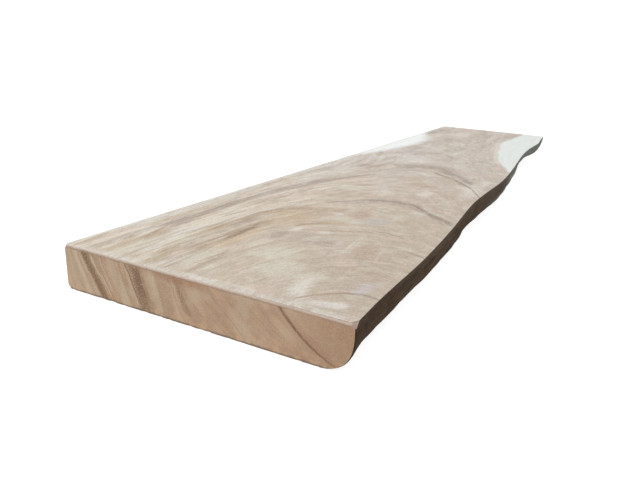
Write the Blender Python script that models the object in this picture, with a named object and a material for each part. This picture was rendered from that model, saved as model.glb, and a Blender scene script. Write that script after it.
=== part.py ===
# A slab of suar wood for a tabletop: one plank with one straight sawn side,
# two ends sawn square, and the tree's own wavy edge down the other side.
# The straight side lies along -X, the live edge along +X, the wide end is at
# -Y and the underside is on z = 0. Lengths are in metres.

import math

import bmesh
import bpy
from mathutils import Vector

LENGTH = 1.600
THICKNESS = 0.080
END_CHAMFER = 0.0058
SIDE_CHAMFER = 0.0045
CORNER_CHAMFER = 0.0030
LIVE_ARRIS = 0.0020

# The live edge seen from above, along its top arris: the distance from the
# wide end, and the slab's width there.
OUTLINE = (
    (0.000, 0.5735),
    (0.092, 0.5600),
    (0.280, 0.5390),
    (0.457, 0.5112),
    (0.622, 0.4804),
    (0.694, 0.4698),
    (0.775, 0.4630),
    (0.912, 0.4523),
    (1.060, 0.4272),
    (1.231, 0.3942),
    (1.330, 0.3798),
    (1.406, 0.3748),
    (1.460, 0.3716),
    (1.522, 0.3603),
    (1.600, 0.3470),
)

# How far the live edge leans in towards the underside as a plain slope, and
# how far its foot is rounded under on top of that.
SLANT = (
    (0.00, 0.003),
    (0.12, 0.010),
    (0.25, 0.014),
    (0.40, 0.010),
    (0.55, 0.006),
    (0.70, 0.012),
    (0.85, 0.015),
    (1.00, 0.010),
    (1.12, 0.010),
    (1.24, 0.022),
    (1.36, 0.041),
    (1.48, 0.046),
    (1.60, 0.020),
)
FOOT = (
    (0.00, 0.053),
    (0.30, 0.042),
    (0.70, 0.042),
    (1.10, 0.060),
    (1.60, 0.090),
)

# The edge is also gently fluted: shallow hollows that run slightly aslant.
FLUTES = (
    # depth, length of one wave, lean over the thickness, start
    (0.0011, 0.195, 0.30, 2.0),
    (0.0005, 0.083, -2.00, 2.1),
    (0.0003, 0.047, 3.00, 4.4),
)

STATIONS = 92
LEVELS = (0.972, 0.90, 0.80, 0.70, 0.60, 0.50, 0.41, 0.33, 0.255, 0.185, 0.125, 0.075, 0.035, 0.010)

WIDTH = OUTLINE[0][1]


def along(points, t):
    """A smooth curve through the points, read at t."""
    last = len(points) - 1
    i = 0
    while i < last - 1 and t > points[i + 1][0]:
        i += 1

    def slope(k):
        a = points[max(k - 1, 0)]
        b = points[min(k + 1, last)]
        return (b[1] - a[1]) / (b[0] - a[0])

    (t0, v0), (t1, v1) = points[i], points[i + 1]
    span = t1 - t0
    u = (t - t0) / span
    m0 = slope(i) * span
    m1 = slope(i + 1) * span
    return (
        v0 * (2 * u**3 - 3 * u**2 + 1)
        + m0 * (u**3 - 2 * u**2 + u)
        + v1 * (3 * u**2 - 2 * u**3)
        + m1 * (u**3 - u**2)
    )


def live_edge(y, z):
    """Distance from the straight side to the live edge at a length and a height."""
    down = 1.0 - z / THICKNESS
    rounding = 1.0 - math.sqrt(max(1.0 - down**3, 0.0))
    x = along(OUTLINE, y) - along(SLANT, y) * down - along(FOOT, y) * rounding
    strength = min(down * 3.0, 1.0) * min(z / 0.012, 1.0)
    for depth, wave, lean, start in FLUTES:
        x += strength * depth * math.sin(2 * math.pi * y / wave + lean * down + start)
    return x


def wood():
    material = bpy.data.materials.new("suar_wood")
    material.use_nodes = True
    shader = material.node_tree.nodes["Principled BSDF"]
    shader.inputs["Base Color"].default_value = (0.56, 0.44, 0.33, 1.0)
    shader.inputs["Roughness"].default_value = 0.62
    shader.inputs["Metallic"].default_value = 0.0
    return material


def edges_where(bm, test):
    return [e for e in bm.edges if all(test(v.co) for v in e.verts)]


def chamfer(bm, edges, width):
    bmesh.ops.bevel(
        bm,
        geom=edges,
        offset=width,
        offset_type="OFFSET",
        segments=1,
        profile=0.5,
        affect="EDGES",
        material=-1,
    )


def build_slab(collection):
    bm = bmesh.new()
    bmesh.ops.create_cube(bm, size=1.0)
    bmesh.ops.scale(bm, vec=(WIDTH, LENGTH, THICKNESS), verts=bm.verts)
    bmesh.ops.translate(bm, vec=(WIDTH / 2, LENGTH / 2, THICKNESS / 2), verts=bm.verts)

    # The sawn corners and the arrises round the top are broken with a chamfer.
    def near(value, target):
        return abs(value - target) < 1e-6

    chamfer(bm, edges_where(bm, lambda c: near(c.x, 0) and near(c.y, 0)), CORNER_CHAMFER)
    chamfer(bm, edges_where(bm, lambda c: near(c.x, WIDTH) and near(c.y, 0)), CORNER_CHAMFER)
    chamfer(bm, edges_where(bm, lambda c: near(c.z, THICKNESS) and near(c.y, 0)), END_CHAMFER)
    chamfer(bm, edges_where(bm, lambda c: near(c.z, THICKNESS) and near(c.y, LENGTH)), END_CHAMFER)
    chamfer(bm, edges_where(bm, lambda c: near(c.z, THICKNESS) and near(c.x, 0)), SIDE_CHAMFER)
    chamfer(bm, edges_where(bm, lambda c: near(c.z, THICKNESS) and near(c.x, WIDTH)), LIVE_ARRIS)

    # Cross cuts give the length its stations, and the live side its heights.
    for i in range(1, STATIONS):
        bmesh.ops.bisect_plane(
            bm,
            geom=bm.verts[:] + bm.edges[:] + bm.faces[:],
            plane_co=(0, LENGTH * i / STATIONS, 0),
            plane_no=(0, 1, 0),
            dist=1e-6,
        )
    for level in LEVELS:
        side = [f for f in bm.faces if f.normal.x > 0.5]
        rim = list({e for f in side for e in f.edges})
        bmesh.ops.bisect_plane(
            bm,
            geom=side + rim,
            plane_co=(0, 0, THICKNESS * level),
            plane_no=(0, 0, 1),
            dist=1e-6,
        )

    # Every point is drawn in from the full width to the live edge's own line.
    for v in bm.verts:
        v.co.x *= live_edge(v.co.y, v.co.z) / WIDTH

    # The origin is the middle of the footprint, on the surface it rests on.
    middle = (min(v.co.x for v in bm.verts) + max(v.co.x for v in bm.verts)) / 2
    bmesh.ops.translate(bm, vec=Vector((-middle, -LENGTH / 2, 0)), verts=bm.verts)
    bmesh.ops.recalc_face_normals(bm, faces=bm.faces)

    mesh = bpy.data.meshes.new("slab")
    bm.to_mesh(mesh)
    bm.free()
    mesh.shade_smooth()
    mesh.set_sharp_from_angle(angle=math.radians(30))
    mesh.materials.append(wood())
    slab = bpy.data.objects.new("slab", mesh)
    collection.objects.link(slab)
    return slab


def main():
    for item in list(bpy.data.objects):
        bpy.data.objects.remove(item, do_unlink=True)
    collection = bpy.data.collections.new("suar_live_edge_tabletop")
    bpy.context.scene.collection.children.link(collection)
    build_slab(collection)


main()
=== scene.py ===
"""Looks of a suar wood slab for a tabletop, with one live edge.

Lengths are in metres. Slab measure: x runs from the straight sawn side to the
live edge, y from the wide end to the narrow end, and z up from the underside.
"""

import math

import bmesh
import bpy
from bpy.props import FloatProperty, FloatVectorProperty, IntProperty, PointerProperty
from mathutils import Matrix, Vector, noise


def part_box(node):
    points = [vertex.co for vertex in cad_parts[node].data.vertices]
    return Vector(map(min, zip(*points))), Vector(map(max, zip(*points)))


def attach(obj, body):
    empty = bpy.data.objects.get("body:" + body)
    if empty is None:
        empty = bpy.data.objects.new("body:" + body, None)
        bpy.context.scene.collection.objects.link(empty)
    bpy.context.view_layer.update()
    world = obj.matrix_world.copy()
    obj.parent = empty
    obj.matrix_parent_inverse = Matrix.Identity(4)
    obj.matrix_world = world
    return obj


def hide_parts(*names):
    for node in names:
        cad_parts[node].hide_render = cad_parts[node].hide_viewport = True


bl_info = {
    "name": "Live edge slab",
    "version": (1, 0, 0),
    "blender": (4, 5, 0),
    "location": "View3D > Sidebar > Slab",
    "description": "Builds a suar wood tabletop slab with one live edge",
    "category": "Add Mesh",
}

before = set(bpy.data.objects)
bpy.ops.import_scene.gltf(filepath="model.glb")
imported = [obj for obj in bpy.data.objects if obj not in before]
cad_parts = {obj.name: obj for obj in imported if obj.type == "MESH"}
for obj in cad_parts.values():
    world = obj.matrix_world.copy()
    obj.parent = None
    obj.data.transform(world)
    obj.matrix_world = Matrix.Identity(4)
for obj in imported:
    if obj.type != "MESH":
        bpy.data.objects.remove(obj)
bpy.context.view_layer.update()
LOW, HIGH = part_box("slab")
LENGTH = HIGH[1] - LOW[1]
THICKNESS = HIGH[2] - LOW[2]
STRAIGHT_SIDE = LOW[0]
WIDE_END = LOW[1]

# The live edge seen from above: distance from the wide end, width there.
OUTLINE = (
    (0.000, 0.5735), (0.092, 0.5600), (0.280, 0.5390), (0.457, 0.5112), (0.622, 0.4804),
    (0.694, 0.4698), (0.775, 0.4630), (0.912, 0.4523), (1.060, 0.4272), (1.231, 0.3942),
    (1.330, 0.3798), (1.406, 0.3748), (1.460, 0.3716), (1.522, 0.3603), (1.600, 0.3470),
)
# How far it leans in towards the underside, and how far its foot rounds under.
SLANT = (
    (0.00, 0.005), (0.12, 0.010), (0.25, 0.014), (0.40, 0.010), (0.55, 0.006), (0.70, 0.012),
    (0.85, 0.015), (1.00, 0.010), (1.12, 0.010), (1.24, 0.022), (1.36, 0.041), (1.48, 0.046),
    (1.60, 0.013),
)
FOOT = ((0.00, 0.052), (0.05, 0.044), (0.30, 0.040), (0.70, 0.0395), (1.10, 0.057), (1.60, 0.080))
# How square the foot is, how much more so close to the wide end, and how far that reaches.
SQUARENESS, NEAR_SQUARENESS, NEAR_REACH = 3.0, 1.0, 0.06
# The relief on the live edge fades out over this height at its foot.
FADE_HEIGHT = 0.030
# Flutes on the live edge: depth, length of one wave, lean, start.
FLUTES = ((0.0011, 0.195, 0.30, 2.0), (0.0005, 0.083, -2.00, 2.1), (0.0003, 0.047, 3.00, 4.4))
WIDTH = OUTLINE[0][1]
SPAN = OUTLINE[-1][0]
CROSSWISE, LENGTHWISE, UPWARD = Vector((1, 0, 0)), Vector((0, 1, 0)), Vector((0, 0, 1))

# The growth rings: where the crown of the arches lies across the slab, and how
# far each crown has climbed, both read along the length.
CROWN = (
    (0.00, 0.5574), (0.15, 0.5232), (0.30, 0.4703), (0.45, 0.3858), (0.60, 0.3337), (0.75, 0.3149),
    (0.90, 0.2689), (1.10, 0.1841), (1.60, 0.1001),
)
CLIMB = (
    (0.00, 0.0000), (0.15, 0.0223), (0.30, 0.0669), (0.45, 0.1306), (0.60, 0.1695), (0.75, 0.2071),
    (0.90, 0.2321), (1.10, 0.2524), (1.60, 0.2730),
)
# How much each ring leans towards the live edge as it goes down, read across.
LEAN = ((0.00, 0.60), (0.08, 0.56), (0.18, 0.25), (0.26, 0.42), (0.33, 0.72), (0.60, 0.72))
# The rings stand this much closer together beyond the crown than before it.
CROWDING = 1.221

# Corners knocked off in handling, each by the plane through three points.
KNOCKED = (
    ((WIDTH - 0.0060, 0.0040, THICKNESS), (WIDTH, 0.0110, THICKNESS), (WIDTH, 0.0000, THICKNESS - 0.0100)),
    ((0.0080, 0.0, THICKNESS), (0.0, 0.0070, THICKNESS), (0.0, 0.0, THICKNESS - 0.0100)),
    ((0.0100, 0.0, 0.0), (0.0, 0.0080, 0.0), (0.0, 0.0, 0.0100)),
    ((0.0060, LENGTH, THICKNESS), (0.0, LENGTH - 0.0080, THICKNESS), (0.0, LENGTH, THICKNESS - 0.0090)),
    ((0.0090, LENGTH, 0.0), (0.0, LENGTH - 0.0070, 0.0), (0.0, LENGTH, 0.0080)),
)
# How much wider the broken arris of an end is by the live edge than by the
# straight side.
ARRIS_SPREAD = 0.0022
# How far the colour below shifts the places that a marking reads.
TIE = 0.00001
# Wear of the sawn arrises: how far in the chips below and the rubbing above reach,
# the even part below and the share above of the depth of the chips.
CHIP_REACH, RUB_REACH = 0.006, 0.010
EVEN_WEAR, RUB_SHARE = 0.15, 0.35
# Extra cuts close to the sawn ends, so that their arrises can be chipped.
END_STEPS = (0.0015, 0.0035, 0.0060, 0.0100, 0.0160)
# Cuts down the live edge, closer together towards the underside, and across the ends.
LEVELS, LEVEL_POWER = 36, 0.8
END_CUTS = 160
SHARP_ANGLE = math.radians(28)
# The slab's materials after the first, which is the sanded face.
END_FINISH, LIVE_FINISH = 1, 2
# The pale floor and the light from all round.
FLOOR_REACH, FLOOR_GAP = 30.0, 0.0005
FLOOR_GREY, FLOOR_GLOW, SKY_GLOW = 0.32, 0.86, 1.12
# Soft lamps: name, place, size and power in watts.
LAMPS = (
    ("overhead_light", (-0.9, 0.6, 3.2), 3.0, 8.0),
    ("front_light", (-1.6, -3.0, 2.0), 2.0, 4.0),
)
# A millimetre, for the tables of markings.
MM = 0.001
# Where a marking starts to show and is full, as shares of its half width or reach.
STROKE_RIM, STROKE_CORE, SPOT_CORE = 1.4, 0.35, 0.38
# The room that a marking's curve has above its highest point.
HEADROOM = 1.05


class SlabShape(bpy.types.PropertyGroup):
    end_chamfer: FloatProperty(
        name="End chamfer", description="Broken arris along the sawn ends", default=0.0040, unit="LENGTH"
    )
    side_chamfer: FloatProperty(
        name="Side ease", description="Eased arris along the straight side", default=0.0045, unit="LENGTH"
    )
    corner_chamfer: FloatProperty(
        name="Corner ease", description="Eased upright corners", default=0.0030, unit="LENGTH"
    )
    live_arris: FloatProperty(
        name="Live arris", description="Eased arris along the live edge", default=0.0020, unit="LENGTH"
    )
    stations: IntProperty(name="Stations", description="Cross cuts along the length", default=300, min=20)
    ridge_depth: FloatProperty(
        name="Ridge depth", description="Fine ridges on the live edge", default=0.0005, unit="LENGTH"
    )
    chip_depth: FloatProperty(
        name="Chip depth", description="Chips along the sawn arrises", default=0.0010, unit="LENGTH"
    )


class SlabColours(bpy.types.PropertyGroup):
    pale: FloatVectorProperty(
        name="Pale wood", description="Dusty sanded wood", default=(0.495, 0.422, 0.348), subtype="COLOR"
    )
    tan: FloatVectorProperty(
        name="Tan wood", description="Ochre growth rings", default=(0.410, 0.310, 0.190), subtype="COLOR"
    )
    # The live edge's dark brown, darkened further as painted shade.
    live: FloatVectorProperty(
        name="Live edge", description="Dark debarked edge", default=(0.032, 0.020, 0.012), subtype="COLOR"
    )
    sapwood: FloatVectorProperty(
        name="Sapwood", description="Pale sapwood", default=(0.640, 0.680, 0.660), subtype="COLOR"
    )


class StudioSetup(bpy.types.PropertyGroup):
    camera_place: FloatVectorProperty(
        name="Camera place", description="Camera position", default=(0.7051, -1.5458, 0.4680), unit="LENGTH"
    )
    camera_turn: FloatProperty(
        name="Camera turn", description="Turn to the left of +Y", default=0.5678, unit="ROTATION"
    )
    camera_dip: FloatProperty(
        name="Camera dip", description="Angle below level", default=0.3122, unit="ROTATION"
    )
    camera_roll: FloatProperty(
        name="Camera roll", description="Roll about the view", default=0.0133, unit="ROTATION"
    )
    camera_lens: FloatProperty(name="Lens", description="Focal length in millimetres", default=40.606)


def along(points, t):
    """A smooth curve through the points, read at t."""
    last = len(points) - 1
    i = 0
    while i < last - 1 and t > points[i + 1][0]:
        i += 1

    def slope(k):
        a = points[max(k - 1, 0)]
        b = points[min(k + 1, last)]
        return (b[1] - a[1]) / (b[0] - a[0])

    (t0, v0), (t1, v1) = points[i], points[i + 1]
    span = t1 - t0
    u = (t - t0) / span
    return (
        v0 * (2 * u**3 - 3 * u**2 + 1)
        + slope(i) * span * (u**3 - 2 * u**2 + u)
        + v1 * (3 * u**2 - 2 * u**3)
        + slope(i + 1) * span * (u**3 - u**2)
    )


def live_edge(y, z, ridge_depth):
    """Distance from the straight side to the live edge at a length and a height."""
    down = 1.0 - z / THICKNESS
    power = SQUARENESS + NEAR_SQUARENESS * max(1.0 - y / NEAR_REACH, 0.0)
    rounding = 1.0 - math.sqrt(max(1.0 - down**power, 0.0))
    x = along(OUTLINE, y) - along(SLANT, y) * down - along(FOOT, y) * rounding
    strength = min(down * 3.0, 1.0) * min(z / FADE_HEIGHT, 1.0)
    for depth, wave, lean, start in FLUTES:
        x += strength * depth * math.sin(2 * math.pi * y / wave + lean * down + start)
    ridges = noise.fractal(Vector((y * 7.0, z * 95.0, 3.7)), 0.9, 2.1, 4)
    dents = noise.fractal(Vector((y * 34.0, z * 40.0, 9.1)), 1.0, 2.0, 3)
    return x + strength * ridge_depth * (ridges + 0.25 * dents)


class Nodes:
    """A node tree, with short ways to add the nodes used here."""

    def __init__(self, tree):
        self.tree = tree

    def node(self, kind, **settings):
        node = self.tree.nodes.new(kind)
        for key, value in settings.items():
            setattr(node, key, value)
        return node

    def feed(self, socket, value):
        if isinstance(value, bpy.types.NodeSocket):
            self.tree.links.new(value, socket)
        elif socket.type == "RGBA":
            socket.default_value = (*value, 1.0)
        else:
            socket.default_value = value

    def math(self, operation, a, b=0.0, c=0.0):
        node = self.node("ShaderNodeMath", operation=operation)
        for socket, value in zip(node.inputs, (a, b, c)):
            self.feed(socket, value)
        return node.outputs[0]

    def add(self, a, b):
        return self.math("ADD", a, b)

    def sub(self, a, b):
        return self.math("SUBTRACT", a, b)

    def mul(self, a, b):
        return self.math("MULTIPLY", a, b)

    def mul_add(self, a, b, c):
        return self.math("MULTIPLY_ADD", a, b, c)

    def most(self, a, b):
        return self.math("MAXIMUM", a, b)

    def vector(self, x, y, z):
        node = self.node("ShaderNodeCombineXYZ")
        for socket, value in zip(node.inputs, (x, y, z)):
            self.feed(socket, value)
        return node.outputs[0]

    def noise(self, vector, scale=1.0, detail=2.0, roughness=0.5):
        node = self.node("ShaderNodeTexNoise")
        self.feed(node.inputs["Vector"], vector)
        node.inputs["Scale"].default_value = scale
        node.inputs["Detail"].default_value = detail
        node.inputs["Roughness"].default_value = roughness
        return node.outputs["Fac"]

    def step(self, value, low, high, out_low=0.0, out_high=1.0, smooth=True):
        node = self.node("ShaderNodeMapRange", clamp=True)
        node.interpolation_type = "SMOOTHSTEP" if smooth else "LINEAR"
        names = ("Value", "From Min", "From Max", "To Min", "To Max")
        for key, item in zip(names, (value, low, high, out_low, out_high)):
            self.feed(node.inputs[key], item)
        return node.outputs[0]

    def curve(self, value, points, span, height=1.0):
        """A smooth curve through (distance, value) points; distances run to span."""
        node = self.node("ShaderNodeFloatCurve")
        line = node.mapping.curves[0]
        for i, (t, v) in enumerate(points):
            place = (t / span, v / height)
            if i < 2:
                line.points[i].location = place
            else:
                line.points.new(*place)
        node.mapping.update()
        self.feed(node.inputs["Value"], self.math("DIVIDE", value, span))
        return self.mul(node.outputs[0], height)

    def mix(self, factor, a, b):
        """Blend two colours, which are sockets 6 and 7 of the node."""
        node = self.node("ShaderNodeMix", data_type="RGBA")
        self.feed(node.inputs[0], factor)
        self.feed(node.inputs[6], a)
        self.feed(node.inputs[7], b)
        return node.outputs[2]

    def bump(self, height, distance, strength):
        node = self.node("ShaderNodeBump")
        node.inputs["Strength"].default_value = strength
        node.inputs["Distance"].default_value = distance
        self.feed(node.inputs["Height"], height)
        return node.outputs[0]

    def stroke(self, t, s, points, half, wobble, fade):
        """1 on a soft line s(t) through the (t, s) points, 0 away from it."""
        start, stop = points[0][0], points[-1][0]
        span = stop - start
        height = max(p[1] for p in points) * HEADROOM
        path = [((p[0] - start) / span, p[1]) for p in points]
        middle = self.curve(self.step(t, start, stop, smooth=False), path, 1.0, height)
        off = self.math("ABSOLUTE", self.add(self.sub(s, middle), wobble))
        line = self.step(off, half * STROKE_RIM, half * STROKE_CORE)
        ends = self.mul(self.step(t, start - fade, start + fade), self.step(t, stop + fade, stop - fade))
        return self.mul(line, ends)

    def spot(self, x, y, centre, reach, turn=0.0, wobble=None):
        """1 in the middle of a soft oval on the top face, 0 outside it."""
        c, s = math.cos(turn), math.sin(turn)
        u = self.sub(x, centre[0])
        v = self.sub(y, centre[1])
        a = self.mul_add(u, c / reach[0], self.mul(v, s / reach[0]))
        b = self.mul_add(u, -s / reach[1], self.mul(v, c / reach[1]))
        r = self.math("SQRT", self.mul_add(a, a, self.mul(b, b)))
        if wobble is not None:
            r = self.add(r, wobble)
        return self.step(r, 1.0, SPOT_CORE)


class Sheet(Nodes):
    """A material with its node tree, its shader and the colour laid so far."""

    def __init__(self, name):
        self.material = bpy.data.materials.new(name)
        self.material.use_nodes = True
        super().__init__(self.material.node_tree)
        self.shader = self.tree.nodes["Principled BSDF"]
        self.shader.inputs["Metallic"].default_value = 0.0
        self.colour = None

    def lay(self, mask, shade):
        """Lay a shade over the colour so far."""
        self.colour = self.mix(mask, self.colour, shade)

    def layer(self, name, shade, strength, sockets, where):
        """Lay a shade over the colour where a mask says, as a node group of its own."""
        tree = bpy.data.node_groups.new(name, "ShaderNodeTree")
        tree.interface.new_socket("Colour", in_out="INPUT", socket_type="NodeSocketColor")
        for i in range(len(sockets)):
            tree.interface.new_socket(f"Value {i}", in_out="INPUT", socket_type="NodeSocketFloat")
        tree.interface.new_socket("Colour", in_out="OUTPUT", socket_type="NodeSocketColor")
        inner = Nodes(tree)
        start = inner.node("NodeGroupInput").outputs
        stop = inner.node("NodeGroupOutput").inputs
        # The values are shifted by next to nothing with the colour below. Cycles then
        # works the layers out in turn; all at once they would fill its stack.
        tie = inner.mul(start[0], TIE)
        values = [inner.add(value, tie) for value in start[1 : len(sockets) + 1]]
        mask = inner.mul(where(inner, *values), strength)
        inner.feed(stop[0], inner.mix(mask, start[0], shade))
        holder = self.node("ShaderNodeGroup", node_tree=tree)
        for socket, value in zip(holder.inputs, (self.colour, *sockets)):
            self.feed(socket, value)
        self.colour = holder.outputs[0]

    def finish(self, roughness, normal, gloss):
        """Join the colour, the roughness and the fine relief to the shader."""
        inputs = self.shader.inputs
        self.feed(inputs["Base Color"], self.colour)
        self.feed(inputs["Roughness"], roughness)
        self.feed(inputs["Normal"], normal)
        inputs["Specular IOR Level"].default_value = gloss
        return self.material


class Figure:
    """The wood's growth rings as sockets: slab measure and the ring number."""

    def __init__(self, sheet):
        n = sheet
        place = n.node("ShaderNodeTexCoord").outputs["Object"]
        shift = n.node("ShaderNodeVectorMath", operation="ADD")
        n.feed(shift.inputs[0], place)
        shift.inputs[1].default_value = (-STRAIGHT_SIDE, -WIDE_END, 0.0)
        self.place = shift.outputs[0]
        split = n.node("ShaderNodeSeparateXYZ")
        n.feed(split.inputs[0], self.place)
        self.x, self.y, self.z = split.outputs
        depth = n.sub(THICKNESS, self.z)

        lean = n.curve(self.x, LEAN, LEAN[-1][0])
        sag = n.mul(n.mul(depth, depth), n.step(self.x, 0.26, 0.48, 0.0, 8.0))
        x = n.sub(n.sub(self.x, n.mul(lean, depth)), sag)
        self.top_x = x
        slow = n.noise(n.vector(n.mul(x, 9.0), n.mul(self.y, 4.0), n.mul(self.z, 6.0)), detail=1.0)
        quick = n.noise(n.vector(n.mul(x, 42.0), n.mul(self.y, 11.0), n.mul(self.z, 30.0)), detail=2.0)
        self.slow, self.quick = slow, quick
        x = n.add(x, n.add(n.mul(n.sub(slow, 0.5), 0.010), n.mul(n.sub(quick, 0.5), 0.004)))
        y = n.add(self.y, n.mul(n.sub(quick, 0.5), 0.006))
        across = n.sub(x, n.curve(y, CROWN, SPAN))
        beyond = n.mul(n.most(across, 0.0), CROWDING)
        across = n.add(n.math("MINIMUM", across, 0.0), beyond)
        climb = n.curve(y, CLIMB, SPAN)
        ring = n.math("SQRT", n.mul_add(across, across, climb))
        self.ring = n.sub(CROWN[0][1], ring)


# Colours of the wood after sanding. The pale bluish grey serves for pale patches and also as a painted
# sheen, the reflection of the sky.
WOOD = {
    "cream": (0.700, 0.620, 0.520),
    "milk": (0.640, 0.605, 0.545),
    "mint": (0.590, 0.570, 0.470),
    # Pale bluish grey: pale patches by the live edge, elsewhere a painted sheen of the sky.
    "chalk_and_sky_sheen": (0.600, 0.585, 0.560),
    "lilac": (0.520, 0.470, 0.470),
    "rose": (0.585, 0.465, 0.390),
    "tan": (0.525, 0.398, 0.262),
    "ochre": (0.440, 0.335, 0.215),
    "olive": (0.410, 0.340, 0.230),
    "brown": (0.360, 0.260, 0.175),
    "rust": (0.420, 0.305, 0.230),
    "plum": (0.335, 0.262, 0.222),
    "slate": (0.420, 0.390, 0.350),
    "smoke": (0.262, 0.220, 0.182),
    "umber": (0.230, 0.155, 0.095),
}

# Markings that run along the slab: colour, half width, strength and path (x, y), in
# millimetres.
STREAKS = (
    ("cream", 8, 0.80, ((34, 0), (35, 60), (34, 110), (40, 165))),
    # A painted sheen of the sky along the straight side.
    ("chalk_and_sky_sheen", 12, 0.60, ((12, 140), (18, 250), (18, 400), (12, 600))),
    ("slate", 7, 0.70, ((50, 0), (52, 50), (50, 130), (56, 180), (52, 260))),
    ("ochre", 12, 0.60, ((94, 85), (93, 110), (88, 140), (84, 165))),
    ("ochre", 14, 0.50, ((80, 0), (88, 40), (80, 85))),
    ("brown", 5, 0.90, ((82, 100), (80, 125), (76, 145), (70, 168))),
    ("plum", 6, 0.70, ((78, 170), (80, 200), (83, 240))),
    ("plum", 11, 0.75, ((58, 170), (66, 240), (64, 320), (65, 400), (70, 480), (78, 540))),
    ("smoke", 2.2, 0.70, ((57, 210), (60, 300), (60, 400), (67, 490), (76, 560))),
    ("smoke", 3, 0.55, ((70, 200), (71, 280), (69, 360), (72, 440))),
    ("milk", 5, 0.70, ((83, 320), (85, 400), (92, 480), (106, 560))),
    ("rose", 7, 0.60, ((80, 245), (84, 270), (84, 295))),
    ("mint", 12, 0.60, ((102, 0), (110, 60), (108, 120))),
    ("milk", 10, 0.85, ((140, 40), (133, 90), (127, 130), (116, 170))),
    ("milk", 11, 0.80, ((116, 160), (120, 200), (129, 245))),
    ("mint", 6, 0.60, ((112, 190), (100, 215), (88, 240))),
    ("cream", 8, 0.60, ((94, 320), (104, 380), (110, 440), (130, 480))),
    ("brown", 7, 0.85, ((152, 215), (147, 250), (148, 285))),
    ("milk", 5, 0.70, ((139, 250), (142, 300), (146, 350), (156, 395))),
    ("plum", 11, 0.75, ((158, 250), (165, 285), (172, 330))),
    ("olive", 14, 0.75, ((185, 10), (178, 45), (166, 80), (152, 125))),
    ("brown", 4, 0.60, ((176, 15), (168, 55), (160, 90))),
    ("plum", 5, 0.60, ((181, 90), (176, 120), (171, 140))),
    ("smoke", 3, 0.60, ((223, 0), (221, 35), (221, 75))),
    ("mint", 10, 0.70, ((238, 40), (231, 75), (228, 105))),
    ("brown", 9, 0.55, ((264, 20), (261, 60), (255, 100), (250, 135))),
    ("tan", 14, 0.75, ((224, 130), (222, 180), (221, 220), (214, 270))),
    ("brown", 14, 0.95, ((199, 95), (197, 140), (198, 190), (197, 240), (202, 310))),
    ("rust", 7, 0.60, ((203, 145), (204, 175), (203, 200))),
    ("umber", 6, 0.90, ((207, 180), (206, 210), (203, 240), (201, 275))),
    ("brown", 13, 0.80, ((156, 280), (158, 330), (168, 375), (184, 410))),
    ("milk", 17, 0.90, ((458, 30), (447, 55), (438, 80), (430, 105))),
    ("milk", 1.5, 0.60, ((416, 225), (406, 265), (398, 305))),
    ("rose", 1.6, 0.60, ((482, 215), (471, 250), (462, 285))),
    ("rust", 9, 0.85, ((18, 535), (20, 575), (30, 625))),
    ("slate", 15, 0.60, ((62, 440), (74, 520), (90, 590), (112, 650))),
    ("plum", 14, 0.80, ((72, 500), (84, 565), (101, 625), (120, 685), (140, 735), (165, 780))),
    ("plum", 6, 0.55, ((103, 395), (113, 450), (126, 510), (144, 565))),
    ("rose", 10, 0.60, ((140, 640), (155, 700), (180, 750))),
    ("milk", 9, 0.35, ((288, 595), (275, 635), (262, 665), (252, 700))),
    ("milk", 20, 0.55, ((440, 700), (432, 740), (416, 765), (400, 795))),
    # A painted sheen of the sky along the straight side, towards the narrow end.
    ("chalk_and_sky_sheen", 12, 0.60, ((10, 640), (16, 780), (14, 940), (20, 1080))),
)

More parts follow.
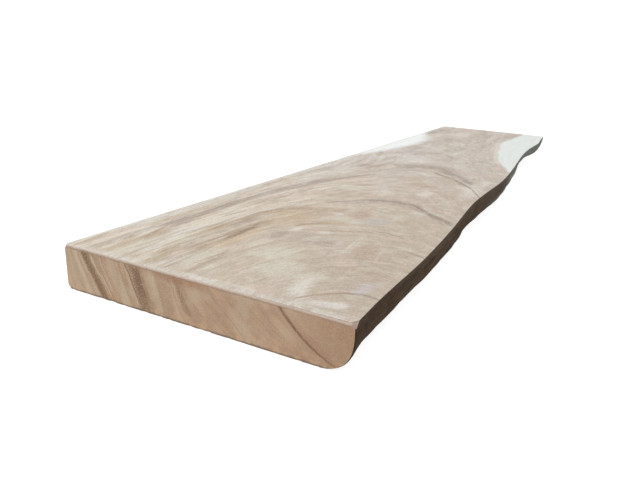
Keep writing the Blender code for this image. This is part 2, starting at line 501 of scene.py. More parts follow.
# Markings that arch across the slab, in the same way.
ARCHES = (
    ("brown", 0.9, 0.70, ((448, 4.8), (500, 5.2), (562, 5.6))),
    ("brown", 4.5, 0.95, ((460, 26), (470, 41), (480, 53), (490, 64), (505, 77), (522, 85))),
    ("smoke", 3.4, 0.85, ((510, 80), (525, 86.5), (540, 88.5), (565, 84.5))),
    ("milk", 11, 0.65, ((465, 18), (490, 26), (535, 36))),
    ("milk", 6, 0.80, ((265, 11), (300, 10), (330, 14))),
    ("milk", 5, 0.60, ((340, 18), (370, 14), (400, 16))),
    ("smoke", 1.6, 0.60, ((498, 149), (520, 153.5), (535, 158), (550, 159))),
    ("smoke", 1.4, 0.40, ((490, 243), (520, 246), (545, 239))),
    ("umber", 2, 0.80, ((498, 297), (508, 292.5), (518, 289.5), (528, 287), (540, 279))),
    ("plum", 2.4, 0.75, ((305, 226), (320, 243), (338, 250), (370, 246), (385, 258))),
    ("ochre", 18, 0.80, ((252, 312), (272, 335), (292, 358), (330, 378))),
    ("umber", 9, 0.70, ((264, 326), (274, 338), (286, 350), (300, 360))),
    ("brown", 3, 0.75, ((288, 303), (315, 316), (345, 330), (380, 350), (408, 368), (432, 369),
        (466, 358))),
    ("plum", 2.8, 0.60, ((395, 361), (412, 369), (436, 368), (462, 359))),
    ("brown", 16, 0.60, ((176, 398), (205, 424), (245, 446), (285, 458))),
    ("smoke", 8.8, 1.00, ((222, 494), (250, 527), (275, 552), (300, 568), (325, 576), (350, 578),
        (375, 572), (405, 554), (440, 526), (470, 509), (498, 489))),
    ("plum", 15, 0.60, ((225, 485), (275, 540), (350, 566), (410, 540), (490, 485))),
    ("umber", 4, 0.60, ((375, 573), (405, 555), (440, 527), (468, 510))),
    ("umber", 4.2, 0.95, ((285, 887), (308, 874), (330, 861), (355, 845), (380, 823), (400, 803),
        (420, 782), (440, 755), (468, 712))),
    ("plum", 8, 0.75, ((290, 882), (330, 856), (360, 836), (400, 796))),
    ("smoke", 15, 0.85, ((245, 938), (290, 926), (312, 910), (333, 891), (355, 872), (380, 848),
        (405, 826))),
    ("plum", 30, 0.65, ((150, 895), (200, 925), (250, 938), (300, 935), (330, 905))),
    ("plum", 30, 0.50, ((80, 850), (110, 875), (160, 895))),
    ("rust", 13, 0.45, ((290, 755), (325, 745), (355, 722), (390, 700), (420, 684))),
    ("brown", 1.6, 0.60, ((405, 692), (430, 679), (448, 668), (474, 654))),
    ("milk", 2.8, 0.70, ((386, 830), (400, 815), (424, 787))),
    ("smoke", 6, 0.45, ((300, 1055), (335, 1085), (370, 1065))),
)

# Soft patches on the top: colour, strength, centre and reach in millimetres, turn.
PATCHES = (
    ("olive", 0.90, (56, 93), (16, 16), 0.6),
    ("plum", 0.55, (267, 252), (22, 36), 0.0),
    ("rose", 0.70, (286, 245), (9, 30), 0.0),
    ("milk", 1.00, (273, 296), (14, 22), -0.4),
    ("milk", 0.60, (327, 309), (18, 14), 0.3),
    ("mint", 0.70, (325, 175), (50, 40), 0.3),
    ("mint", 0.50, (380, 110), (60, 50), 0.0),
    ("mint", 0.60, (230, 130), (18, 24), 0.0),
    ("chalk_and_sky_sheen", 1.00, (526, 38), (16, 14), 0.4),
    ("chalk_and_sky_sheen", 0.70, (508, 30), (30, 12), 0.0),
    ("lilac", 1.00, (522, 113), (21, 36), 0.1),
    ("olive", 0.45, (466, 64), (11, 20), 0.0),
    ("rust", 0.95, (441, 264), (26, 40), 0.1),
    ("brown", 0.16, (490, 200), (75, 190), 0.1),
    ("olive", 0.40, (450, 220), (14, 16), 0.0),
    ("tan", 0.35, (478, 172), (12, 16), 0.0),
    ("plum", 0.50, (364, 256), (20, 22), 0.0),
    ("plum", 0.30, (320, 262), (90, 50), 0.1),
    ("lilac", 0.60, (382, 274), (7, 22), 0.3),
    ("brown", 0.50, (220, 370), (80, 95), -0.4),
    ("tan", 0.55, (222, 350), (70, 75), -0.4),
    ("ochre", 0.35, (205, 375), (45, 50), -0.6),
    ("slate", 0.90, (373, 424), (38, 28), 0.6),
    ("lilac", 0.30, (378, 426), (20, 16), 0.6),
    ("olive", 0.60, (314, 487), (22, 32), 0.0),
    ("rust", 0.75, (325, 447), (30, 36), 0.3),
    ("milk", 0.95, (285, 431), (14, 13), 0.0),
    ("slate", 0.70, (290, 576), (22, 12), 0.3),
    ("olive", 0.35, (430, 450), (30, 50), 0.2),
    ("rose", 0.45, (215, 500), (40, 50), -0.4),
    ("milk", 0.70, (355, 672), (24, 30), 0.0),
    ("rust", 0.55, (318, 750), (45, 36), -0.3),
    ("olive", 0.45, (270, 790), (30, 30), 0.0),
    ("olive", 0.45, (350, 820), (35, 30), -0.6),
    ("mint", 0.50, (190, 640), (40, 50), 0.0),
    ("plum", 0.45, (45, 775), (22, 30), 0.0),
    ("milk", 0.45, (432, 800), (26, 85), 0.25),
    # A painted sheen of the sky towards the narrow end.
    ("chalk_and_sky_sheen", 0.40, (55, 800), (60, 260), 0.0),
    ("chalk_and_sky_sheen", 0.60, (130, 1000), (110, 80), 0.2),
    ("chalk_and_sky_sheen", 0.40, (300, 995), (50, 40), 0.0),
    ("slate", 0.60, (80, 1130), (20, 50), 0.0),
    ("lilac", 0.45, (125, 1120), (60, 130), 0.1),
    ("smoke", 0.35, (150, 1085), (25, 35), 0.0),
    ("smoke", 0.30, (205, 1210), (30, 70), 0.0),
    ("slate", 0.50, (170, 1380), (40, 60), 0.0),
    ("slate", 0.80, (30, 1500), (40, 90), 0.0),
    ("olive", 0.35, (160, 1560), (35, 50), 0.0),
    ("plum", 0.30, (265, 1540), (30, 70), 0.0),
)

# Markings on the sawn wide end: colour, half width, strength and path (z, x), in
# millimetres.
END_MARKS = (
    ((0.470, 0.385, 0.300), 4.5, 0.55, ((0, 60), (30, 46), (60, 32), (76, 26))),
    ((0.310, 0.240, 0.165), 4.5, 0.60, ((0, 46), (30, 34), (60, 21), (80, 16))),
    ((0.290, 0.205, 0.140), 2.8, 0.60, ((0, 73), (30, 56), (55, 41), (76, 32))),
    ((0.290, 0.215, 0.150), 2.5, 0.45, ((0, 22), (30, 13), (60, 7), (76, 5))),
    ((0.205, 0.135, 0.080), 11.5, 0.95, ((0, 98), (20, 87), (40, 73), (60, 60), (80, 50))),
    ((0.150, 0.090, 0.048), 7.5, 0.85, ((0, 94), (20, 83), (40, 70), (60, 56), (80, 46))),
    ((0.500, 0.390, 0.300), 3.4, 0.75, ((8, 109), (25, 99), (40, 88), (58, 74), (72, 66))),
    ((0.250, 0.160, 0.100), 2.2, 0.65, ((0, 118), (20, 107), (40, 95), (60, 81), (76, 72))),
    ((0.480, 0.270, 0.120), 7, 0.40, ((0, 110), (10, 106), (22, 100))),
    ((0.285, 0.195, 0.125), 12, 0.65, ((45, 94), (62, 87), (76, 82))),
    ((0.430, 0.345, 0.255), 12, 0.60, ((0, 152), (20, 139), (45, 124), (75, 112))),
    ((0.235, 0.152, 0.095), 18, 0.90, ((0, 195), (20, 187), (40, 178), (60, 170), (80, 163))),
    ((0.190, 0.118, 0.072), 11, 0.80, ((0, 192), (20, 187), (45, 177), (74, 168))),
    ((0.150, 0.086, 0.058), 9, 0.75, ((26, 186), (40, 180), (54, 175), (68, 171))),
    ((0.300, 0.215, 0.140), 1.6, 0.60, ((0, 205), (30, 192), (74, 178))),
    ((0.470, 0.375, 0.285), 1.4, 0.60, ((4, 126), (30, 109), (55, 94), (74, 86))),
    ((0.200, 0.130, 0.080), 1.2, 0.70, ((0, 112), (20, 101), (40, 89), (60, 77), (76, 68))),
    ((0.130, 0.078, 0.050), 1.6, 0.85, ((0, 183), (12, 178), (30, 168), (45, 161), (60, 154), (76, 145))),
    ((0.470, 0.365, 0.265), 2.8, 0.50, ((10, 172), (30, 163), (50, 153), (66, 146))),
    ((0.430, 0.350, 0.250), 9, 0.60, ((10, 222), (35, 212), (70, 203))),
    ((0.300, 0.215, 0.140), 12, 0.50, ((0, 247), (40, 234), (78, 224))),
    ((0.275, 0.190, 0.125), 1.8, 0.60, ((0, 128), (30, 112), (55, 98), (78, 90))),
    ((0.285, 0.200, 0.130), 3, 0.50, ((0, 162), (30, 147), (60, 136), (78, 130))),
    ((0.290, 0.200, 0.130), 3, 0.55, ((0, 234), (40, 222), (78, 212))),
    ((0.440, 0.340, 0.250), 3, 0.50, ((0, 264), (30, 253), (60, 244))),
    ((0.225, 0.145, 0.095), 7, 0.75, ((18, 281), (30, 274), (45, 266), (60, 259), (72, 254))),
    ((0.440, 0.340, 0.245), 4, 0.45, ((30, 262), (50, 255), (66, 250))),
    ((0.250, 0.165, 0.115), 1.2, 0.65, ((2, 392), (14, 380), (25, 370), (45, 345), (60, 330), (74, 321))),
    ((0.205, 0.120, 0.074), 5, 0.90, ((6, 545), (12, 531), (22, 511), (35, 492), (50, 474), (63, 461),
        (78, 449))),
    ((0.140, 0.078, 0.048), 2.2, 0.85, ((10, 536), (22, 511), (36, 490), (50, 473), (63, 460), (80, 447))),
    ((0.290, 0.170, 0.105), 11, 0.65, ((2, 560), (14, 538), (28, 514), (42, 496))),
)


# Where the sapwood ends, read along the slab: the tongue by the live edge and the
# strip by the straight side. STRIP_BACK is taken off the strip's curve.
TONGUE = (
    (0.0, 1.0), (0.97, 0.62), (1.00, 0.440), (1.05, 0.407), (1.12, 0.366), (1.20, 0.336),
    (1.30, 0.304), (1.40, 0.278), (1.50, 0.280), (1.60, 0.282),
)
STRIP = (
    (0.0, 0.0), (0.86, 0.0), (0.98, 0.066), (1.10, 0.100), (1.25, 0.116), (1.35, 0.098),
    (1.44, 0.050), (1.50, 0.010), (1.60, 0.0),
)
STRIP_BACK = 0.040


def metres(lengths):
    """Lengths of a table, also within points and paths, from millimetres to metres."""
    if isinstance(lengths, tuple):
        return tuple(metres(part) for part in lengths)
    return lengths * MM


def streaks(n, f, ring_scale, length_scale, start, detail=3.0, roughness=0.55):
    """Noise drawn out along the rings, as wide across them as 1 / ring_scale."""
    across = n.mul_add(f.ring, ring_scale, start)
    along_x = n.mul(f.x, length_scale)
    along_y = n.mul_add(f.y, length_scale, n.mul(f.z, length_scale))
    return n.noise(n.vector(across, along_x, along_y), detail=detail, roughness=roughness)


def ring_tones(n, f, colours, thin, calm):
    """Tones drawn out along the rings, stronger towards the straight side, where pale streaks and a pale
    wash also stand for painted glare.
    """
    broad = streaks(n, f, 34.0, 2.6, 0.0)
    ochre = streaks(n, f, 75.0, 5.0, 7.3)
    cream = streaks(n, f, 52.0, 5.0, 12.7)
    n.colour = n.mix(n.step(broad, 0.36, 0.64), tuple(colours.pale), (0.455, 0.372, 0.300))
    left = n.step(f.x, 0.34, 0.06, 0.25, 1.0)
    n.lay(n.mul(n.step(ochre, 0.46, 0.64), n.mul(left, 0.90)), tuple(colours.tan))
    # Pale streaks, partly paler wood and partly painted glare, and a pale wash of painted glare, both
    # growing towards the straight side.
    n.lay(n.mul(n.step(cream, 0.48, 0.64), n.mul(left, 0.92)), (0.640, 0.585, 0.475))
    n.lay(n.mul(left, 0.22), (0.700, 0.640, 0.545))
    n.lay(n.mul(n.step(thin, 0.50, 0.70, 0.0, 0.55), calm), (0.350, 0.270, 0.200))


def overall_tints(n, f, blotch):
    """Pinkish grey towards the narrow end, brown by the live edge, green and rose in turns."""
    tint = n.noise(f.place, 24.0, detail=2.0)
    pink = n.step(f.y, 0.40, 1.10)
    n.lay(n.mul(pink, 0.75), (0.455, 0.405, 0.372))
    brown = n.step(f.x, 0.30, 0.48)
    n.lay(n.mul(brown, n.step(blotch, 0.35, 0.65, 0.25, 0.60)), (0.405, 0.335, 0.268))
    n.lay(n.step(tint, 0.52, 0.68, 0.0, 0.48), WOOD["mint"])
    n.lay(n.step(tint, 0.48, 0.32, 0.0, 0.50), WOOD["rose"])


def top_markings(n, f, hair, fine):
    """The patches, streaks and arches of the tables, with frayed and broken edges."""
    fray = n.mul_add(n.sub(hair, 0.5), 2.4, n.mul(n.sub(f.quick, 0.5), 1.2))
    broken = n.step(n.mul_add(fine, 0.5, n.mul(hair, 0.5)), 0.34, 0.50, 0.70, 1.0)
    for name, strength, centre, reach, turn in PATCHES:
        centre, reach = metres(centre), metres(reach)

        def patch(g, x, y, rough, part):
            return g.mul(g.spot(x, y, centre, reach, turn, g.mul(rough, 0.45)), part)

        n.layer("patch", WOOD[name], strength, (f.top_x, f.y, fray, broken), patch)
    for table, t, s, end in ((STREAKS, f.y, f.top_x, 0.022), (ARCHES, f.top_x, f.y, 0.012)):
        for name, half, strength, path in table:
            half, points = metres((half, path))
            if table is STREAKS:
                points = tuple((y, x) for x, y in points)

            def mark(g, t, s, rough, part):
                return g.mul(g.stroke(t, s, points, half, g.mul(rough, half * 0.8), end), part)

            n.layer("mark", WOOD[name], strength, (t, s, fray, broken), mark)


def sapwood(n, f, colours, thin, side):
    """The pale tongue by the live edge and the strip by the straight side."""
    line = n.curve(f.y, TONGUE, SPAN)
    into = n.add(n.sub(f.x, line), n.mul(n.sub(f.quick, 0.5), 0.012))
    tongue = n.step(into, -0.005, 0.007)
    edge = n.sub(n.curve(f.y, STRIP, SPAN), STRIP_BACK)
    strip = n.step(n.add(n.sub(edge, f.x), n.mul(n.sub(f.slow, 0.5), 0.030)), -0.020, 0.032)
    rim = n.mul(n.step(into, -0.026, -0.004), n.mul(n.step(f.y, 1.04, 1.12), n.step(f.y, 1.42, 1.30)))
    n.lay(n.mul(rim, 0.75), (0.640, 0.590, 0.495))
    n.lay(tongue, n.mix(n.step(thin, 0.35, 0.70), tuple(colours.sapwood), (0.620, 0.645, 0.620)))
    # The strip is paler and bluer on the top than on the straight side; that difference is a painted sheen
    # on the top.
    n.lay(n.mul(strip, 0.92), n.mix(side, (0.755, 0.790, 0.780), (0.600, 0.580, 0.505)))
    return n.most(tongue, strip)


def sanding_marks(n, f, blotch):
    """Dust in pale wisps and by the wide end, a painted highlight along the straight side's top arris, and
    faint tracks nearly lengthwise.
    """
    top = n.step(f.z, 0.050, 0.074)
    wisps = n.noise(n.vector(n.mul(f.x, 60.0), n.mul(f.y, 26.0), f.z), detail=4.0, roughness=0.65)
    dusty = n.mul(n.step(blotch, 0.50, 0.70), n.step(wisps, 0.42, 0.68, 0.0, 0.40))
    near_end = n.mul(n.step(f.y, 0.020, 0.002), n.step(wisps, 0.36, 0.60, 0.15, 0.80))
    # A painted highlight along the straight side's top arris, laid in the same pale tone as the dust.
    arris_highlight = n.mul(n.step(f.x, 0.018, 0.002, 0.0, 0.75), n.step(f.z, 0.0730, 0.0785))
    n.lay(n.most(n.mul(n.most(dusty, near_end), top), arris_highlight), (0.640, 0.615, 0.570))
    slanting = n.vector(n.mul(n.mul_add(f.y, 0.25, f.x), 150.0), n.mul(f.y, 3.0), 0.0)
    tracks = n.mul(n.step(n.noise(slanting, detail=1.0), 0.60, 0.74), n.step(f.x, 0.22, 0.38))
    n.lay(n.mul(n.mul(tracks, top), 0.20), (0.590, 0.550, 0.500))


def fine_grain(n, f, hair, fine, calm, grain):
    """Hair lines and pores over it all, each in a dark and a pale tone."""
    calm = n.mul(calm, grain)
    n.lay(n.mul(n.step(hair, 0.50, 0.70, 0.0, 0.50), calm), (0.320, 0.250, 0.190))
    n.lay(n.mul(n.step(hair, 0.48, 0.30, 0.0, 0.50), calm), (0.680, 0.630, 0.550))
    speck = n.noise(f.place, 360.0, detail=2.0, roughness=0.7)
    n.lay(n.mul(n.step(speck, 0.51, 0.66, 0.0, 0.34), grain), (0.320, 0.255, 0.197))
    n.lay(n.mul(n.step(speck, 0.48, 0.34, 0.0, 0.30), grain), (0.700, 0.645, 0.570))
    n.lay(n.mul(n.step(fine, 0.48, 0.70, 0.0, 0.32), grain), (0.300, 0.235, 0.180))
    n.lay(n.mul(n.step(fine, 0.44, 0.28, 0.0, 0.28), grain), (0.680, 0.620, 0.540))


def long_grain(colours):
    """The sanded top, which the straight side and the underside share."""
    n = Sheet("suar_sanded_face")
    f = Figure(n)
    thin = streaks(n, f, 130.0, 9.0, 3.1)
    hair = streaks(n, f, 170.0, 13.0, 5.0)
    fine = streaks(n, f, 460.0, 60.0, 9.0, 2.0)
    blotch = n.noise(f.place, 9.0, detail=3.0, roughness=0.6)
    calm = n.step(f.x, 0.20, 0.32, 1.0, 0.45)
    # 1 on the straight side's face, 0 on the top, where the sapwood strip has a painted sheen.
    side = n.step(f.z, 0.077, 0.070)
    ring_tones(n, f, colours, thin, calm)
    overall_tints(n, f, blotch)
    top_markings(n, f, hair, fine)
    pale = sapwood(n, f, colours, thin, side)
    sanding_marks(n, f, blotch)

    # The grain is weaker on the sapwood, most of all where that is seen from above.
    grain = n.step(pale, 0.0, 1.0, 1.0, n.step(side, 0.0, 1.0, 0.15, 0.70))
    fine_grain(n, f, hair, fine, calm, grain)

    # The arris by the live edge is a thin dark line.
    arris = n.mul(n.step(f.z, THICKNESS - 0.0001, THICKNESS - 0.0014), n.step(f.x, 0.28, 0.30))
    n.lay(n.mul(n.mul(arris, n.step(f.y, 0.015, 0.025)), 0.75), (0.150, 0.115, 0.090))
    roughness = n.step(fine, 0.2, 0.8, 0.78, 0.64)
    return n.finish(roughness, n.bump(fine, 0.0004, 0.30), 0.20)


def end_tones(n, f, fibre, mottle):
    """The sawn end's plain wood: paler by the straight side, browner by the live edge."""
    broad = streaks(n, f, 60.0, 5.0, 2.0)
    cloud = n.noise(f.place, 22.0, detail=2.0)
    n.colour = n.mix(n.step(broad, 0.34, 0.66), (0.400, 0.276, 0.181), (0.340, 0.224, 0.145))
    deep = n.step(f.x, 0.45, 0.15, 0.30, 0.65)
    n.lay(n.step(fibre, 0.48, 0.68, 0.0, deep), (0.230, 0.150, 0.095))
    n.lay(n.step(cloud, 0.50, 0.66, 0.0, 0.60), (0.395, 0.310, 0.225))
    n.lay(n.step(cloud, 0.48, 0.34, 0.0, 0.60), (0.325, 0.208, 0.142))
    n.lay(n.step(f.x, 0.45, 0.55, 0.0, 0.75), (0.285, 0.176, 0.106))
    n.lay(n.step(f.x, 0.150, 0.010, 0.0, 0.65), (0.415, 0.320, 0.222))
    low = n.step(f.z, 0.026, 0.002)
    n.lay(n.mul(low, n.step(mottle, 0.40, 0.65, 0.0, 0.65)), (0.470, 0.305, 0.175))


def end_markings(n, f, mottle, speck, near_end):
    """The bands of the table on the wide end, a rusty cloud, and pores over both."""
    fray = n.mul_add(n.sub(mottle, 0.5), 2.0, n.mul(n.sub(speck, 0.5), 1.6))
    crumble = n.mul_add(speck, 0.6, n.mul(mottle, 0.4))
    broken = n.mul(n.step(crumble, 0.34, 0.56, 0.50, 1.0), near_end)
    for shade, half, strength, path in END_MARKS:
        half, path = metres((half, path))

        def mark(g, z, x, rough, part):
            return g.mul(g.stroke(z, x, path, half, g.mul(rough, half * 0.55 + 0.0009), 0.004), part)

        n.layer("end_mark", shade, strength, (f.z, f.x, fray, broken), mark)
    rust = n.spot(f.x, f.z, (0.262, 0.071), (0.065, 0.014), 0.0, n.mul(fray, 0.4))
    rust = n.mul(n.step(f.z, 0.056, 0.070), rust)
    n.lay(n.mul(rust, 0.60), (0.265, 0.145, 0.085))
    n.lay(n.step(mottle, 0.48, 0.70, 0.0, 0.30), (0.420, 0.310, 0.215))
    dark = n.step(f.x, 0.35, 0.20, 0.32, 0.50)
    bright = n.step(f.x, 0.35, 0.20, 0.25, 0.45)
    n.lay(n.step(speck, 0.51, 0.68, 0.0, dark), (0.215, 0.138, 0.090))
    n.lay(n.step(speck, 0.48, 0.32, 0.0, bright), (0.510, 0.385, 0.280))


def broken_arrises(n, f, end_chamfer, mottle):
    """The upper arris, a pale strip with painted highlights between two darker lines, and a painted shadow
    along the lower one.
    """
    ragged = n.noise(f.place, 90.0, detail=3.0, roughness=0.6)
    waver = n.mul(n.sub(ragged, 0.5), 0.0036)
    spread = n.mul(f.x, ARRIS_SPREAD / WIDTH)
    height = n.add(n.add(n.sub(f.z, THICKNESS - end_chamfer), spread), waver)
    strip = n.mix(n.step(f.x, 0.04, 0.16), (0.370, 0.305, 0.245), (0.425, 0.340, 0.275))
    strip = n.mix(n.step(mottle, 0.45, 0.65, 0.0, 0.60), strip, (0.330, 0.250, 0.200))
    # The upper part of the strip is a painted highlight, as on a rounded arris.
    upper = n.mul(n.step(height, 0.0018, 0.0036), n.step(f.x, 0.44, 0.38))
    strip = n.mix(n.mul(upper, 0.85), strip, (0.545, 0.475, 0.400))
    faint = n.step(f.x, 0.06, 0.20, 0.55, 0.95)
    n.lay(n.mul(n.step(height, -0.0004, 0.0012), faint), strip)
    patchy = n.step(ragged, 0.36, 0.56, 0.25, 1.0)
    under = n.step(n.math("ABSOLUTE", n.add(height, 0.0004)), 0.0018, 0.0003)
    n.lay(n.mul(n.mul(under, patchy), n.step(f.x, 0.42, 0.48, 0.65, 0.45)), (0.235, 0.155, 0.118))
    # A thinner painted highlight at mid height of the strip.
    middle = n.step(n.math("ABSOLUTE", n.sub(height, 0.0030)), 0.0016, 0.0004)
    n.lay(n.mul(middle, 0.30), (0.580, 0.490, 0.420))
    over = n.step(n.math("ABSOLUTE", n.sub(height, 0.0052)), 0.0015, 0.0005)
    n.lay(n.mul(n.mul(over, patchy), n.step(f.x, 0.42, 0.46, 0.15, 0.75)), (0.270, 0.215, 0.180))
    corner = n.spot(f.x, f.z, (0.5715, 0.0765), (0.0075, 0.0085))
    n.lay(n.mul(corner, 0.85), (0.330, 0.235, 0.205))
    # A painted shadow along the lower arris of the end, deepest at the underside.
    end_shadow_under = n.step(n.mul_add(mottle, 0.006, f.z), 0.0076, 0.0046, 0.0, 0.80)
    n.lay(end_shadow_under, (0.130, 0.100, 0.075))


def end_grain(end_chamfer):
    """The sawn ends."""
    n = Sheet("suar_sawn_end")
    f = Figure(n)
    fibre = streaks(n, f, 190.0, 14.0, 9.0)
    speck = n.noise(f.place, 420.0, detail=2.0, roughness=0.7)
    mottle = n.noise(f.place, 60.0, detail=3.0, roughness=0.6)
    near_end = n.step(f.y, 0.80, 0.79)
    end_tones(n, f, fibre, mottle)
    end_markings(n, f, mottle, speck, near_end)

    # At the narrow end the sapwood reaches right through by the live edge.
    into = n.mul_add(mottle, 0.008, n.sub(f.x, 0.300))
    sap = n.mul(n.step(into, -0.003, 0.005), n.sub(1.0, near_end))
    n.lay(n.mul(sap, 0.90), (0.560, 0.540, 0.460))
    broken_arrises(n, f, end_chamfer, mottle)
    return n.finish(0.75, n.bump(n.add(speck, n.mul(fibre, 0.6)), 0.0005, 0.35), 0.15)


def live_edge_in_painted_shade(colours):
    """The live edge, its own dark brown darkened further as painted shade, turning silver grey towards the
    narrow end.
    """
    n = Sheet("suar_live_edge")
    f = Figure(n)
    drawn_out = n.vector(n.mul(f.x, 60.0), n.mul(f.y, 14.0), n.mul(f.z, 150.0))
    streak = n.noise(drawn_out, detail=4.0, roughness=0.6)
    patch = n.noise(f.place, 16.0, detail=3.0, roughness=0.6)
    speck = n.noise(f.place, 260.0, detail=2.0, roughness=0.6)
    n.colour = n.mix(n.step(streak, 0.40, 0.62), tuple(colours.live), (0.056, 0.036, 0.021))
    n.lay(n.step(patch, 0.46, 0.66, 0.0, 0.60), (0.068, 0.044, 0.026))
    # Painted light near the top and painted shade at the foot, then darker towards the wide end.
    n.lay(n.step(f.z, 0.060, 0.080, 0.0, 0.50), (0.078, 0.060, 0.048))
    n.lay(n.step(f.z, 0.030, 0.006, 0.0, 0.60), (0.022, 0.015, 0.010))
    n.lay(n.step(f.y, 0.30, 0.05, 0.0, 0.40), (0.022, 0.013, 0.007))
    n.lay(n.step(f.y, 0.62, 0.92, 0.0, 0.45), (0.066, 0.056, 0.047))
    # The silver grey of the sapwood, darkened as painted shade as well.
    grey = n.mul(n.step(n.mul_add(patch, 0.20, f.y), 1.00, 1.22), 0.90)
    low = n.mul(n.step(n.mul_add(patch, 0.02, f.z), 0.058, 0.040), n.step(f.y, 0.84, 0.94))
    silver = n.mix(n.step(streak, 0.38, 0.64), (0.098, 0.099, 0.089), (0.146, 0.149, 0.135))
    n.lay(n.most(grey, n.mul(low, 0.85)), silver)
    n.lay(n.step(speck, 0.50, 0.70, 0.0, 0.45), (0.105, 0.074, 0.050))
    return n.finish(0.90, n.bump(n.add(streak, n.mul(speck, 0.3)), 0.0012, 0.5), 0.02)


def edges_where(bm, test):
    return [e for e in bm.edges if all(test(v.co) for v in e.verts)]


def ease(bm, edges, width, segments):
    bmesh.ops.bevel(
        bm,
        geom=edges,
        offset=width,
        offset_type="OFFSET",
        segments=segments,
        profile=0.5,
        affect="EDGES",
        material=-1,
    )


def cut(bm, faces, places, axis):
    """Cut the faces across at each place along an axis, from the low side up."""
    for place in sorted(places):
        geom = faces + list({e for f in faces for e in f.edges}) + list({v for f in faces for v in f.verts})
        done = bmesh.ops.bisect_plane(bm, geom=geom, plane_co=axis * place, plane_no=axis, dist=1e-6)
        parts = [item for item in done["geom"] if isinstance(item, bmesh.types.BMFace)]
        faces = [f for f in parts if f.calc_center_median().dot(axis) > place]


def near(value, target):
    return abs(value - target) < 1e-6


def knock_off(bm, corner):
    """Cut a corner off along the plane through its three points."""
    a, b, c = (Vector(p) for p in corner)
    out = (b - a).cross(c - a).normalized()
    if out.dot(a - Vector((WIDTH / 2, LENGTH / 2, THICKNESS / 2))) < 0:
        out = -out
    geom = bm.verts[:] + bm.edges[:] + bm.faces[:]
    done = bmesh.ops.bisect_plane(bm, geom=geom, plane_co=a, plane_no=out, dist=1e-6, clear_outer=True)
    rim = [item for item in done["geom_cut"] if isinstance(item, bmesh.types.BMEdge)]
    bmesh.ops.edgenet_fill(bm, edges=rim)


def wear(co, chip_depth, end_chamfer):
    """Chip the arrises of the sawn ends, most of all under the slab."""
    inward = 1.0 if co.y < LENGTH / 2 else -1.0
    from_end = co.y if inward > 0 else LENGTH - co.y
    if max(from_end, THICKNESS - co.z) < end_chamfer + 1e-5:
        share = max(1.0 - from_end / end_chamfer, 0.0)
        co.z -= ARRIS_SPREAD * co.x / WIDTH * share
    chips = max(noise.fractal(Vector((co.x * 60.0, inward * 3.0, 1.7)), 0.8, 2.1, 3), 0.0)
    below = max(1.0 - max(from_end, co.z) / CHIP_REACH, 0.0)
    shift = below * (EVEN_WEAR + chips) * chip_depth
    co.y += inward * shift
    co.z += shift
    above = max(1.0 - max(from_end, THICKNESS - co.z) / RUB_REACH, 0.0)
    rub = abs(noise.fractal(Vector((co.x * 40.0, inward * 5.0, 4.2)), 0.8, 2.1, 3))
    co.z -= above * RUB_SHARE * chip_depth * rub


def sawn_block(shape):
    """The plain block, its arrises broken and its corners knocked off."""
    bm = bmesh.new()
    bmesh.ops.create_cube(bm, size=1.0)
    bmesh.ops.scale(bm, vec=(WIDTH, LENGTH, THICKNESS), verts=bm.verts)
    bmesh.ops.translate(bm, vec=(WIDTH / 2, LENGTH / 2, THICKNESS / 2), verts=bm.verts)
    top = THICKNESS
    ease(bm, edges_where(bm, lambda c: near(c.x, 0) and near(c.y, 0)), shape.corner_chamfer, 2)
    ease(bm, edges_where(bm, lambda c: near(c.x, WIDTH) and near(c.y, 0)), shape.corner_chamfer / 2, 1)
    ease(bm, edges_where(bm, lambda c: near(c.z, top) and near(c.y, 0)), shape.end_chamfer, 1)
    ease(bm, edges_where(bm, lambda c: near(c.z, top) and near(c.y, LENGTH)), shape.end_chamfer, 1)
    ease(bm, edges_where(bm, lambda c: near(c.z, top) and near(c.x, 0)), shape.side_chamfer, 2)
    ease(bm, edges_where(bm, lambda c: near(c.z, top) and near(c.x, WIDTH)), shape.live_arris, 2)
    for corner in KNOCKED:
        knock_off(bm, corner)
    return bm


def add_cuts(bm, stations):
    """Cut the block along its length, down the live edge and at its ends."""
    places = [LENGTH * i / stations for i in range(1, stations)]
    places += list(END_STEPS) + [LENGTH - step for step in END_STEPS]
    cut(bm, bm.faces[:], places, LENGTHWISE)
    levels = [THICKNESS * (1.0 - (i / LEVELS) ** LEVEL_POWER) for i in range(1, LEVELS)]
    cut(bm, [f for f in bm.faces if f.normal.x > 0.5], levels, UPWARD)
    reach = END_STEPS[-1] + 1e-5
    ends = [f for f in bm.faces if all(v.co.y < reach or v.co.y > LENGTH - reach for v in f.verts)]
    cut(bm, ends, [WIDTH * i / END_CUTS for i in range(1, END_CUTS)], CROSSWISE)
    cut(bm, [f for f in bm.faces if abs(f.normal.y) > 0.9], END_STEPS, UPWARD)


def choose_finishes(bm):
    """Give the live edge and the sawn ends their own finish; the rest keeps the first."""
    for f in bm.faces:
        if f.normal.x > 0.5 and (f.normal.z < 0.2 or abs(f.normal.y) < 0.4):
            f.material_index = LIVE_FINISH
        elif abs(f.normal.y) > 0.5:
            f.material_index = END_FINISH


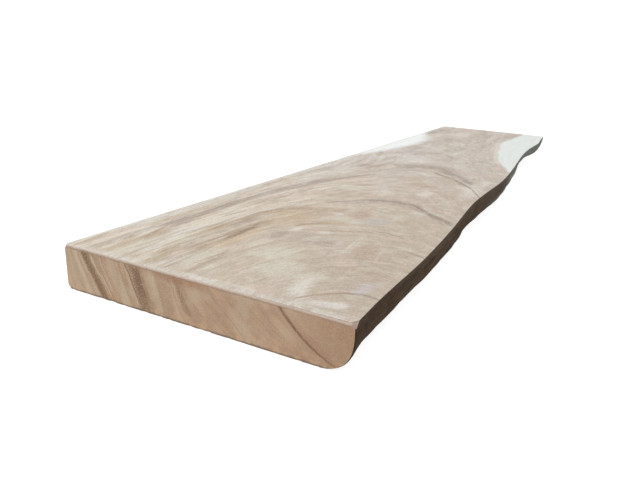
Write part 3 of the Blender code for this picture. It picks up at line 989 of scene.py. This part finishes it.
class SLAB_OT_slab(bpy.types.Operator):
    """Build the slab with its live edge and its three finishes"""

    bl_idname = "slab.build"
    bl_label = "Slab"

    def execute(self, context):
        shape = context.scene.slab_shape
        colours = context.scene.slab_colours
        bm = sawn_block(shape)
        add_cuts(bm, shape.stations)
        choose_finishes(bm)
        for v in bm.verts:
            wear(v.co, shape.chip_depth, shape.end_chamfer)
            v.co.x *= live_edge(v.co.y, v.co.z, shape.ridge_depth) / WIDTH
        bmesh.ops.translate(bm, vec=(STRAIGHT_SIDE, WIDE_END, LOW[2]), verts=bm.verts)
        bmesh.ops.recalc_face_normals(bm, faces=bm.faces)

        mesh = bpy.data.meshes.new("live_edge_slab")
        bm.to_mesh(mesh)
        bm.free()
        mesh.shade_smooth()
        mesh.set_sharp_from_angle(angle=SHARP_ANGLE)
        mesh.materials.append(long_grain(colours))
        mesh.materials.append(end_grain(shape.end_chamfer))
        mesh.materials.append(live_edge_in_painted_shade(colours))
        slab = bpy.data.objects.new("live_edge_slab", mesh)
        context.collection.objects.link(slab)
        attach(slab, "root")
        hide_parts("slab")
        return {"FINISHED"}


def lay_floor(context):
    """A wide pale floor, just clear of the slab's underside."""
    bm = bmesh.new()
    bmesh.ops.create_grid(bm, x_segments=1, y_segments=1, size=FLOOR_REACH)
    bmesh.ops.translate(bm, vec=(0, 0, LOW[2] - FLOOR_GAP), verts=bm.verts)
    mesh = bpy.data.meshes.new("floor")
    bm.to_mesh(mesh)
    bm.free()
    sheet = Sheet("pale_floor")
    inputs = sheet.shader.inputs
    inputs["Base Color"].default_value = (FLOOR_GREY, FLOOR_GREY, FLOOR_GREY, 1.0)
    inputs["Roughness"].default_value = 0.9
    inputs["Emission Color"].default_value = (1.0, 1.0, 1.0, 1.0)
    inputs["Emission Strength"].default_value = FLOOR_GLOW
    inputs["Specular IOR Level"].default_value = 0.0
    mesh.materials.append(sheet.material)
    floor = bpy.data.objects.new("floor", mesh)
    context.collection.objects.link(floor)


def set_lights(context):
    """White light from all round, and two large soft lamps aimed at the slab."""
    world = bpy.data.worlds.new("studio")
    world.use_nodes = True
    back = world.node_tree.nodes["Background"]
    back.inputs["Color"].default_value = (1.0, 1.0, 1.0, 1.0)
    back.inputs["Strength"].default_value = SKY_GLOW
    context.scene.world = world
    for name, place, size, power in LAMPS:
        lamp = bpy.data.lights.new(name, "AREA")
        lamp.size = size
        lamp.energy = power
        light = bpy.data.objects.new(name, lamp)
        light.location = place
        light.rotation_euler = (-Vector(place)).to_track_quat("-Z", "Y").to_euler()
        context.collection.objects.link(light)


def set_camera(context):
    """The camera where the photo was taken from."""
    setup = context.scene.slab_studio
    turn, dip, roll = setup.camera_turn, setup.camera_dip, setup.camera_roll
    ahead = Vector((-math.sin(turn) * math.cos(dip), math.cos(turn) * math.cos(dip), -math.sin(dip)))
    level = Vector((math.cos(turn), math.sin(turn), 0.0))
    upright = level.cross(ahead)
    right = math.cos(roll) * level + math.sin(roll) * upright
    up = math.cos(roll) * upright - math.sin(roll) * level
    lens = bpy.data.cameras.new("camera")
    lens.lens = setup.camera_lens
    lens.sensor_width = 36.0
    lens.clip_end = 100.0
    camera = bpy.data.objects.new("camera", lens)
    turned = Matrix((right, up, -ahead)).transposed().to_4x4()
    camera.matrix_world = Matrix.Translation(setup.camera_place) @ turned
    context.collection.objects.link(camera)
    context.scene.camera = camera


class SLAB_OT_stage(bpy.types.Operator):
    """Set the pale floor, the soft lights and the camera"""

    bl_idname = "slab.stage"
    bl_label = "Stage"

    def execute(self, context):
        context.scene.view_settings.view_transform = "Standard"
        lay_floor(context)
        set_lights(context)
        set_camera(context)
        return {"FINISHED"}


class SLAB_PT_panel(bpy.types.Panel):
    """List the pieces and their settings"""

    bl_label = "Live edge slab"
    bl_space_type = "VIEW_3D"
    bl_region_type = "UI"
    bl_category = "Slab"

    def draw(self, context):
        layout = self.layout
        layout.operator("slab.build")
        layout.operator("slab.stage")
        for group in (context.scene.slab_shape, context.scene.slab_colours, context.scene.slab_studio):
            box = layout.box()
            for key in group.__annotations__:
                box.prop(group, key)


CLASSES = (SlabShape, SlabColours, StudioSetup, SLAB_OT_slab, SLAB_OT_stage, SLAB_PT_panel)


def register():
    for item in CLASSES:
        bpy.utils.register_class(item)
    bpy.types.Scene.slab_shape = PointerProperty(type=SlabShape)
    bpy.types.Scene.slab_colours = PointerProperty(type=SlabColours)
    bpy.types.Scene.slab_studio = PointerProperty(type=StudioSetup)


def unregister():
    del bpy.types.Scene.slab_studio
    del bpy.types.Scene.slab_colours
    del bpy.types.Scene.slab_shape
    for item in reversed(CLASSES):
        bpy.utils.unregister_class(item)


def main():
    register()
    bpy.ops.slab.build()
    bpy.ops.slab.stage()


if __name__ == "__main__":
    main()
